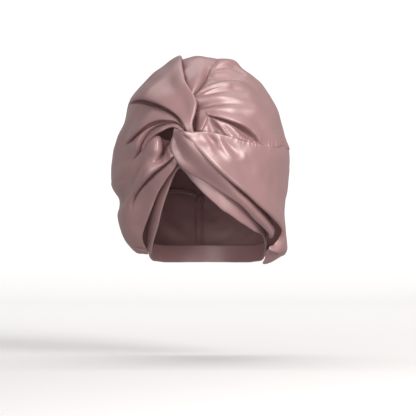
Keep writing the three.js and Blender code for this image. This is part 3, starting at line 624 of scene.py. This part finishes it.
def pull_in(grid, low, high):
    """Pulls both long sides of a patch in by an amount of chart distance."""
    rows = np.linspace(0, 1, grid.shape[0])
    width = np.linalg.norm(np.diff(grid, axis=0), axis=2).sum(axis=0)
    low, high = np.minimum(low / width, MOST_PULL), np.minimum(high / width, MOST_PULL)
    return resample(grid, low + rows[:, None] * (1 - low - high))


def even_out(grid, points, across):
    """Fewer rows, set closer where the folded cloth is steep."""
    steps = np.linalg.norm(np.diff(points, axis=0), axis=2)
    steps /= steps.mean(axis=0)
    padded = np.pad(steps, ((0, 0), (EVEN_WINDOW // 2, EVEN_WINDOW // 2)), mode="edge")
    steps = sum(padded[:, k : k + steps.shape[1]] for k in range(EVEN_WINDOW)) / EVEN_WINDOW
    steps = EVEN_SHARE + (1 - EVEN_SHARE) * steps
    run = np.concatenate([np.zeros((1, steps.shape[1])), np.cumsum(steps, axis=0)])
    run /= run[-1]
    rows = np.linspace(0, 1, len(run))
    even = np.linspace(0, 1, across + 1)
    want = np.stack([np.interp(even, run[:, j], rows) for j in range(run.shape[1])], axis=1)
    return resample(grid, want)


def grid_normals(points, like):
    """Normals of a grid of points, on the side that the given normals face."""
    facing = unit(np.cross(np.gradient(points, axis=0), np.gradient(points, axis=1)))
    rows, columns = like.shape[:2]
    top, left = (points.shape[0] - rows) // 2, (points.shape[1] - columns) // 2
    return facing * np.sign((facing[top : top + rows, left : left + columns] * like).sum())


def along_edge(rows, count):
    """Rows that are spread evenly along an edge, at as many places as asked."""
    if len(rows) == 1:
        return np.tile(np.array(rows[0], float), (count, 1))
    return smooth(np.linspace(0, 1, len(rows)), rows, np.linspace(0, 1, count))


def turned_edge(edge, inside, normals, rows, width, steps=6):
    """Rows of points that carry a sheet on round a turned edge: an arc and then a straight flap.
    The turn's radius, degrees and flap are given in rows spread along the edge."""
    tangent = unit(np.gradient(edge, axis=0))
    out = edge - inside
    out = unit(out - (out * tangent).sum(axis=1, keepdims=True) * tangent)
    up = unit(normals - (normals * tangent).sum(axis=1, keepdims=True) * tangent)
    up = unit(up - (up * out).sum(axis=1, keepdims=True) * out)
    radius, degrees, flap = along_edge(rows, len(edge)).T
    radius = np.minimum(radius, WIDEST_TURN * width)[:, None]
    flap = np.minimum(flap, WIDEST_FLAP * width)[:, None]
    angle = np.radians(degrees)[:, None]
    turned = []
    for share in np.linspace(0, 1, steps + 1)[1:]:
        theta = share * angle
        turned.append(edge + radius * (np.sin(theta) * out - (1 - np.cos(theta)) * up))
    ahead = np.cos(angle) * out - np.sin(angle) * up
    for share in (0.5, 1.0):
        turned.append(turned[steps - 1] + flap * share * ahead)
    return turned


def quads_mesh(name, points, faces, uv):
    """A smooth closed mesh of quads, given in millimetres, facing outwards."""
    points = points * MM
    a, b, c, d = (points[faces[:, k]] for k in range(4))
    volume = (a * np.cross(b, c)).sum() + (a * np.cross(c, d)).sum()
    if volume < 0:
        faces = faces[:, ::-1]
    mesh = bpy.data.meshes.new(name)
    mesh.vertices.add(len(points))
    mesh.vertices.foreach_set("co", points.ravel())
    mesh.loops.add(faces.size)
    mesh.loops.foreach_set("vertex_index", faces.ravel().astype(np.int32))
    mesh.polygons.add(len(faces))
    mesh.polygons.foreach_set("loop_start", np.arange(0, faces.size, 4, dtype=np.int32))
    mesh.polygons.foreach_set("use_smooth", np.ones(len(faces), dtype=bool))
    mesh.update(calc_edges=True)
    mesh.validate()
    layer = mesh.uv_layers.new(name="Cloth")
    layer.data.foreach_set("uv", uv[faces.ravel()].astype(np.float32).ravel())
    piece = bpy.data.objects.new(name, mesh)
    bpy.context.scene.collection.objects.link(piece)
    return piece


def wall_mesh(name, outer, inner, uv):
    """A closed thin wall between two grids of points."""
    rows, columns = outer.shape[:2]
    at = np.arange(rows * columns).reshape(rows, columns)
    quads = np.stack([at[:-1, :-1], at[:-1, 1:], at[1:, 1:], at[1:, :-1]], axis=-1).reshape(-1, 4)
    below = quads[:, ::-1] + rows * columns
    rim = np.concatenate([at[0, :], at[1:, -1], at[-1, -2::-1], at[-2:0:-1, 0]])
    step = np.roll(rim, -1)
    side = np.stack([rim, rim + rows * columns, step + rows * columns, step], axis=-1)
    points = np.concatenate([outer.reshape(-1, 3), inner.reshape(-1, 3)])
    return quads_mesh(name, points, np.concatenate([quads, below, side]), np.tile(uv.reshape(-1, 2), (2, 1)))


def ring_mesh(name, rings, uv):
    """A closed tube from rings of points that each go all the way round."""
    rows, columns = rings.shape[:2]
    at = np.arange(rows * columns).reshape(rows, columns)
    a, b = at, np.roll(at, -1, axis=0)
    faces = np.stack([a, np.roll(a, -1, axis=1), np.roll(b, -1, axis=1), b], axis=-1).reshape(-1, 4)
    return quads_mesh(name, rings.reshape(-1, 3), faces, uv.reshape(-1, 2))


def ripple(points, seed, waves=16):
    """Soft unevenness of loose cloth: waves of many lengths and directions, about 1 high."""
    random = np.random.default_rng(seed)
    total = np.zeros(points.shape[:-1])
    for _ in range(waves):
        direction = unit(random.normal(size=3))
        length = random.uniform(*RIPPLE_LENGTHS)
        phase = random.uniform(0, 2 * math.pi)
        total += length / RIPPLE_UNIT * np.sin(points @ direction * 2 * math.pi / length + phase)
    return total / math.sqrt(waves / 2)


def density(rows):
    """The rows of a mesh, as given."""
    return rows


def draped(node, grid, relief, seed):
    """The patch's points, folded and rippled, and the form's normals under them."""
    base, normal = PUFF.point(grid), PUFF.normal(grid)
    flat, flat_normal = base.reshape(-1, 3), normal.reshape(-1, 3)
    shift = sum(fold_shift(PUFF, entry, flat, flat_normal) for entry in FOLDS[node])
    points = base + shift.reshape(base.shape)
    return points + (relief * ripple(base, seed))[..., None] * normal, normal


def edge_room(rows, count, gap):
    """How far a sheet is pulled in at each place along an edge, for its turn and the gap."""
    return along_edge(rows, count)[:, 0] + gap


def satin_sheet(node, cloth, across, along, crowd, seed, relief_share):
    """One satin piece: lofted, folded, edges turned under, and given its thickness."""
    low, high, start, end = EDGES[node]
    across, along = density(across), density(along)
    relief = cloth.relief * relief_share
    gap = cloth.seam_gap
    grid = chart_grid(PUFF, STRANDS[node], 2 * across, along, crowd)
    rows, columns = grid.shape[:2]
    grid = pull_in(grid, edge_room(low, columns, gap), edge_room(high, columns, gap))
    grid = pull_in(grid.swapaxes(0, 1), edge_room(start, rows, 0), edge_room(end, rows, 0)).swapaxes(0, 1)
    grid = even_out(grid, draped(node, grid, relief, seed)[0], across)
    points = draped(node, grid, relief, seed)[0]
    grid = even_out(grid.swapaxes(0, 1), points.swapaxes(0, 1), along).swapaxes(0, 1)
    points, normal = draped(node, grid, relief, seed)
    facing = grid_normals(points, normal)
    width = np.linalg.norm(np.diff(points, axis=0), axis=2).sum(axis=0)
    below = turned_edge(points[0], points[2], facing[1], low, width)
    above = turned_edge(points[-1], points[-3], facing[-2], high, width)
    points = np.concatenate([np.stack(below[::-1]), points, np.stack(above)])
    facing = grid_normals(points, normal)
    facing[: len(below)] = facing[len(below) + 1]
    facing[-len(above) :] = facing[-len(above) - 2]
    long = np.full(len(points), 100.0)
    before = turned_edge(points[:, 0], points[:, 2], facing[:, 1], start, long)
    after = turned_edge(points[:, -1], points[:, -3], facing[:, -2], end, long)
    points = np.concatenate([np.stack(before[::-1], axis=1), points, np.stack(after, axis=1)], axis=1)
    facing = grid_normals(points, normal)
    middle = points.shape[0] // 2, points.shape[1] // 2
    u, v = (UV_SHARE * run_along(line) for line in (points[:, middle[1]], points[middle[0]]))
    uv = np.stack(np.meshgrid(u, v, indexing="ij"), axis=-1)
    return wall_mesh(node + "_satin", points, points - cloth.wall * facing, uv)


# ------------------------------------------------------------------ finishes
def linear(value):
    """An sRGB value from 0 to 255 as a linear share."""
    share = value / 255
    return share / 12.92 if share <= 0.04045 else ((share + 0.055) / 1.055) ** 2.4


def colour(red, green, blue):
    return (linear(red), linear(green), linear(blue))


def new_material(name):
    material = bpy.data.materials.new(name)
    material.use_nodes = True
    tree = material.node_tree
    return material, tree.nodes, tree.links, tree.nodes["Principled BSDF"]


def set_inputs(node, values):
    for name, value in values.items():
        node.inputs[name].default_value = value


SATIN = {
    "IOR": 1.6,
    "Metallic": 0.1,
    "Sheen Roughness": 0.35,
    "Specular IOR Level": 0.9,
    "Anisotropic": 0.5,
    "Anisotropic Rotation": 0.25,
    "Coat Weight": 0.12,
    "Coat Roughness": 0.28,
}
CLOUDS = {"Scale": 22, "Detail": 4}
WEAVE = {"Scale": 500, "Detail": 2}
WEAVE_RELIEF = {"Strength": 0.12, "Distance": 0.0004}
DYE = ((0.3, 0.93), (0.7, 1.05))  # place in the clouds, strength of the dye there


def satin(name, tint, roughness, sheen):
    """Glossy satin: a soft cross-weave, faint cloudiness in the dye and a silky highlight."""
    material, nodes, links, shader = new_material(name)
    set_inputs(shader, {"Roughness": roughness, "Sheen Weight": sheen, **SATIN})
    where = nodes.new("ShaderNodeTexCoord")
    noises = []
    for values in (CLOUDS, WEAVE):
        noise = nodes.new("ShaderNodeTexNoise")
        set_inputs(noise, values)
        links.new(where.outputs["Object"], noise.inputs["Vector"])
        noises.append(noise.outputs["Fac"])
    dye = nodes.new("ShaderNodeValToRGB")
    for element, (place, strength) in zip(dye.color_ramp.elements, DYE):
        element.position = place
        element.color = (*[strength * c for c in tint], 1)
    links.new(noises[0], dye.inputs["Fac"])
    links.new(dye.outputs["Color"], shader.inputs["Base Color"])
    bump = nodes.new("ShaderNodeBump")
    set_inputs(bump, WEAVE_RELIEF)
    links.new(noises[1], bump.inputs["Height"])
    links.new(bump.outputs["Normal"], shader.inputs["Normal"])
    return material


def paper(name, tint):
    """Matt paper that is clear from behind, so that a camera at the back sees the bonnet."""
    material, nodes, links, shader = new_material(name)
    set_inputs(shader, {"Base Color": (*tint, 1), "Roughness": 0.9})
    kinds = ("NewGeometry", "BsdfTransparent", "MixShader")
    side, clear, both = (nodes.new("ShaderNode" + kind) for kind in kinds)
    links.new(side.outputs["Backfacing"], both.inputs["Fac"])
    links.new(shader.outputs["BSDF"], both.inputs[1])
    links.new(clear.outputs["BSDF"], both.inputs[2])
    links.new(both.outputs["Shader"], nodes["Material Output"].inputs["Surface"])
    return material


# ------------------------------------------------------------------ settings
class BonnetCloth(bpy.types.PropertyGroup):
    wall: bpy.props.FloatProperty(
        name="Cloth thickness", description="Thickness of the doubled satin, in mm", default=0.9, min=0.2
    )
    seam_gap: bpy.props.FloatProperty(
        name="Seam clearance", description="Gap on each side of a seam, in mm", default=0.35, min=0.1
    )
    relief: bpy.props.FloatProperty(
        name="Ripple height", description="Height of the fine ripples, in mm", default=0.45, min=0
    )
    tint: bpy.props.FloatVectorProperty(
        name="Satin colour", description="Dye of the satin", subtype="COLOR", default=colour(166, 127, 127)
    )
    roughness: bpy.props.FloatProperty(
        name="Roughness", description="Roughness of the satin's highlight", default=0.42, min=0, max=1
    )
    sheen: bpy.props.FloatProperty(
        name="Sheen", description="Strength of the silky sheen", default=0.05, min=0, max=1
    )


class BonnetStage(bpy.types.PropertyGroup):
    floor_drop: bpy.props.FloatProperty(
        name="Floor", description="Height of the floor below the origin", default=-0.326, unit="LENGTH"
    )
    distance: bpy.props.FloatProperty(
        name="Camera distance", description="From the camera to the bonnet's axis", default=4.0, unit="LENGTH"
    )
    tint: bpy.props.FloatVectorProperty(
        name="Stage colour", description="Colour of the paper", subtype="COLOR", default=(0.93, 0.93, 0.93)
    )


# ------------------------------------------------------------------ operators
def finish_piece(piece, node):
    """Gives a piece its material, hangs it under the frame's root body and hides the frame's part that it
    replaces.
    """
    cloth = bpy.context.scene.bonnet_cloth
    material = bpy.data.materials.get("rose_satin")
    material = material or satin("rose_satin", tuple(cloth.tint), cloth.roughness, cloth.sheen)
    piece.data.materials.append(material)
    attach(piece, ROOT)
    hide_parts(node)


# An edge is rows, spread evenly along it, of the radius it turns with, the degrees and the flap.
SEWN = [(1.0, 100, 0.6)]
BARE = [(0.2, 90, 0.2)]
EDGES = {
    # low, high, start, end
    "crown_left": (
        [(1.6, 150, 3), (1.6, 150, 3), (1.2, 120, 2), *[(0.3, 90, 0.3)] * 5],
        [(2.6, 180, 7), (2.8, 180, 7), (2.6, 180, 6), (1.4, 110, 1), *SEWN * 2], BARE, SEWN,
    ),
    "crown_right": (BARE, BARE, BARE, BARE),
    "band_right": (
        [(2.0, 180, 6), (2.6, 180, 6), (2.6, 180, 6), (2.6, 180, 5), (2.0, 180, 3), (0.7, 150, 0.6),
         (0.7, 160, 1), *[(0.8, 180, 4)] * 3, (0.3, 100, 0.3)],
        [(2.2, 160, 4), (1.2, 110, 1), *SEWN * 4], BARE, BARE,
    ),
    "band_left": (
        [*[(2.0, 180, 5)] * 3, (1.6, 180, 4), *[(0.7, 160, 1)] * 2, *[(0.8, 180, 4)] * 4, (0.3, 100, 0.3)],
        SEWN, BARE, SEWN,
    ),
    "band_roll": ([(2.4, 170, 6), (3.0, 170, 6), (2.0, 170, 5), (1.8, 170, 5)], BARE, BARE, BARE),
}
SHEETS = {
    # rows across, rows along, crowding at the knot, seed, share of the ripple height, flat, held, area
    "crown_left": (160, 240, 1.2, 3, 1, (0.26, 0.30), "gathered", 0.054),
    "crown_right": (160, 240, 1.2, 7, 1, (0.26, 0.30), "gathered", 0.054),
    "band_right": (150, 260, 1.15, 11, 1, (0.16, 0.38), "gathered", 0.038),
    "band_left": (150, 260, 1.15, 13, 1, (0.15, 0.32), "gathered", 0.030),
    "band_roll": (80, 200, 1.0, 17, 0.6, (0.06, 0.18), "folded", 0.0085),
}


def add_sheets(*nodes):
    """Adds satin pieces by the names of their nodes."""
    cloth = bpy.context.scene.bonnet_cloth
    for node in nodes:
        *shape, flat, held, area = SHEETS[node]
        finish_piece(satin_sheet(node, cloth, *shape), node)
    return {"FINISHED"}


class BONNET_OT_crown(bpy.types.Operator):
    """Add the two halves of the puffed crown"""

    bl_idname = "bonnet.crown"
    bl_label = "Crown Halves"

    def execute(self, context):
        return add_sheets("crown_left", "crown_right")


class BONNET_OT_bands(bpy.types.Operator):
    """Add the two side bands that cross at the knot"""

    bl_idname = "bonnet.bands"
    bl_label = "Side Bands"

    def execute(self, context):
        return add_sheets("band_right", "band_left")


class BONNET_OT_roll(bpy.types.Operator):
    """Add the rolled tongue of cloth along the front band"""

    bl_idname = "bonnet.roll"
    bl_label = "Front Roll"

    def execute(self, context):
        return add_sheets("band_roll")


class BONNET_OT_head_band(bpy.types.Operator):
    """Add the elasticated band that hugs the head"""

    bl_idname = "bonnet.head_band"
    bl_label = "Head Band"

    def execute(self, context):
        piece = head_band(20, 0.6, 1.0, context.scene.bonnet_cloth.wall)
        finish_piece(piece, "head_band")
        return {"FINISHED"}


def head_band(width, clearance, puff, wall):
    """The closed casing round the face and the nape: its middle stands proud by the puff."""
    across, along = 16, density(480)
    edge = strand_curve(HEAD, BAND_EDGE, 600, closed=True)
    chart = edge(np.linspace(0, 1, along + 1)[:-1])
    base, facing = HEAD.point(chart), HEAD.normal(chart)
    tangent = unit(np.roll(base, -1, axis=0) - np.roll(base, 1, axis=0))
    away = unit(np.cross(facing, tangent))
    outside, inside = [], []
    for i in np.linspace(0, 1, across + 1):
        near = HEAD.locate(base + away * width * i)
        place, up = HEAD.point(near), HEAD.normal(near)
        outside.append(place + up * (clearance + wall + puff * math.sin(math.pi * i) ** 0.5))
        inside.append(place + up * clearance)
    rings = np.stack([*outside, *inside[::-1]])
    u, v = np.meshgrid(np.linspace(0, 0.4, len(rings)), np.linspace(0, 6, along), indexing="ij")
    return ring_mesh("head_band_satin", rings, np.stack([u, v], axis=-1))


class BONNET_OT_stage(bpy.types.Operator):
    """Add the pale paper sweep, the soft lights and the camera"""

    bl_idname = "bonnet.stage"
    bl_label = "Stage"

    def execute(self, context):
        stage = context.scene.bonnet_stage
        paper_sweep(stage.floor_drop, tuple(stage.tint))
        lights()
        camera(stage.distance)
        return {"FINISHED"}


def paper_sweep(floor, tint):
    """A floor that curves up into a backdrop."""
    half, depth, rise, bend = 3.0, 2.2, 3.0, 0.8
    profile = [(-5.5, floor), (depth - bend, floor)]
    for n in range(1, 13):
        angle = math.pi / 2 * n / 12
        profile.append((depth - bend + bend * math.sin(angle), floor + bend * (1 - math.cos(angle))))
    profile.append((depth, floor + rise))
    points, faces = [], []
    for y, z in profile:
        points += [(-half, y, z), (half, y, z)]
    for n in range(len(profile) - 1):
        faces.append((2 * n, 2 * n + 1, 2 * n + 3, 2 * n + 2))
    mesh = bpy.data.meshes.new("paper_sweep")
    mesh.from_pydata(points, [], faces)
    mesh.polygons.foreach_set("use_smooth", [True] * len(faces))
    mesh.materials.append(paper("stage_paper", tint))
    sweep = bpy.data.objects.new("paper_sweep", mesh)
    bpy.context.scene.collection.objects.link(sweep)
    sweep.visible_glossy = sweep.visible_diffuse = False


def look(direction):
    return Vector(direction).to_track_quat("-Z", "Y").to_euler()


AIM = (0, 0, -0.1)  # where the lights on the bonnet point, m
LIGHTS = (
    # name, place, aim, size, watts, tint
    ("key", (1.12, -1.33, 0.67), AIM, (0.9, 1.3), 31, (1.0, 0.98, 0.96)),
    ("fill", (-0.6, -2.1, -0.1), AIM, (1.5, 1.4), 15, (0.98, 0.98, 1.0)),
    ("bounce", (0.15, -1.7, -0.22), AIM, (1.8, 0.3), 4, (1, 1, 1)),
    ("backdrop", (0, 0.9, 1.8), (0, 2.2, 0.4), (3.0, 0.8), 40, (1, 1, 1)),
)
AROUND = {"Color": (1, 0.94, 0.93, 1), "Strength": 0.36}


def lights():
    for name, place, aim, size, power, tint in LIGHTS:
        data = bpy.data.lights.new(name, "AREA")
        data.shape = "RECTANGLE"
        data.size, data.size_y = size
        data.energy = power
        data.color = tint
        lamp = bpy.data.objects.new(name, data)
        bpy.context.scene.collection.objects.link(lamp)
        lamp.location = place
        lamp.visible_camera = False
        lamp.rotation_euler = look(np.array(aim, float) - np.array(place, float))
    world = bpy.data.worlds.new("studio")
    world.use_nodes = True
    set_inputs(world.node_tree.nodes["Background"], AROUND)
    bpy.context.scene.world = world


LENS_SHARE = 0.07727  # length of the lens as a share of the camera's distance
CAMERA_AIM = (0.0011, 0, -0.159)  # m
CAMERA_RISE = 1  # degrees above level


def camera(distance):
    """A long lens straight at the knot side, a little above level."""
    data = bpy.data.cameras.new("camera")
    data.sensor_width = 36
    data.lens = LENS_SHARE * distance / MM
    data.clip_end = 50
    view = bpy.data.objects.new("camera", data)
    bpy.context.scene.collection.objects.link(view)
    aim, elevation = np.array(CAMERA_AIM), math.radians(CAMERA_RISE)
    place = aim + distance * np.array([0, -math.cos(elevation), math.sin(elevation)])
    view.location = place
    view.rotation_euler = look(aim - place)
    bpy.context.scene.camera = view
    bpy.context.scene.view_settings.view_transform = "Standard"


class BONNET_PT_panel(bpy.types.Panel):
    """Lists the bonnet's pieces in the sidebar"""

    bl_idname = "BONNET_PT_panel"
    bl_label = "Sleep Bonnet"
    bl_space_type = "VIEW_3D"
    bl_region_type = "UI"
    bl_category = "Bonnet"

    def draw(self, context):
        layout = self.layout
        cloth, stage = context.scene.bonnet_cloth, context.scene.bonnet_stage
        for group in (cloth, stage):
            box = layout.box()
            for name in group.bl_rna.properties.keys():
                if name not in ("rna_type", "name"):
                    box.prop(group, name)
        for operator in PIECES:
            layout.operator(operator.bl_idname)


PIECES = (BONNET_OT_stage, BONNET_OT_crown, BONNET_OT_bands, BONNET_OT_roll, BONNET_OT_head_band)
CLASSES = (BonnetCloth, BonnetStage, *PIECES, BONNET_PT_panel)


def register():
    for cls in CLASSES:
        bpy.utils.register_class(cls)
    bpy.types.Scene.bonnet_cloth = bpy.props.PointerProperty(type=BonnetCloth)
    bpy.types.Scene.bonnet_stage = bpy.props.PointerProperty(type=BonnetStage)


def unregister():
    del bpy.types.Scene.bonnet_stage
    del bpy.types.Scene.bonnet_cloth
    for cls in reversed(CLASSES):
        bpy.utils.unregister_class(cls)


def main():
    register()
    for operator in PIECES:
        group, name = operator.bl_idname.split(".")
        getattr(getattr(bpy.ops, group), name)()


if __name__ == "__main__":
    main()
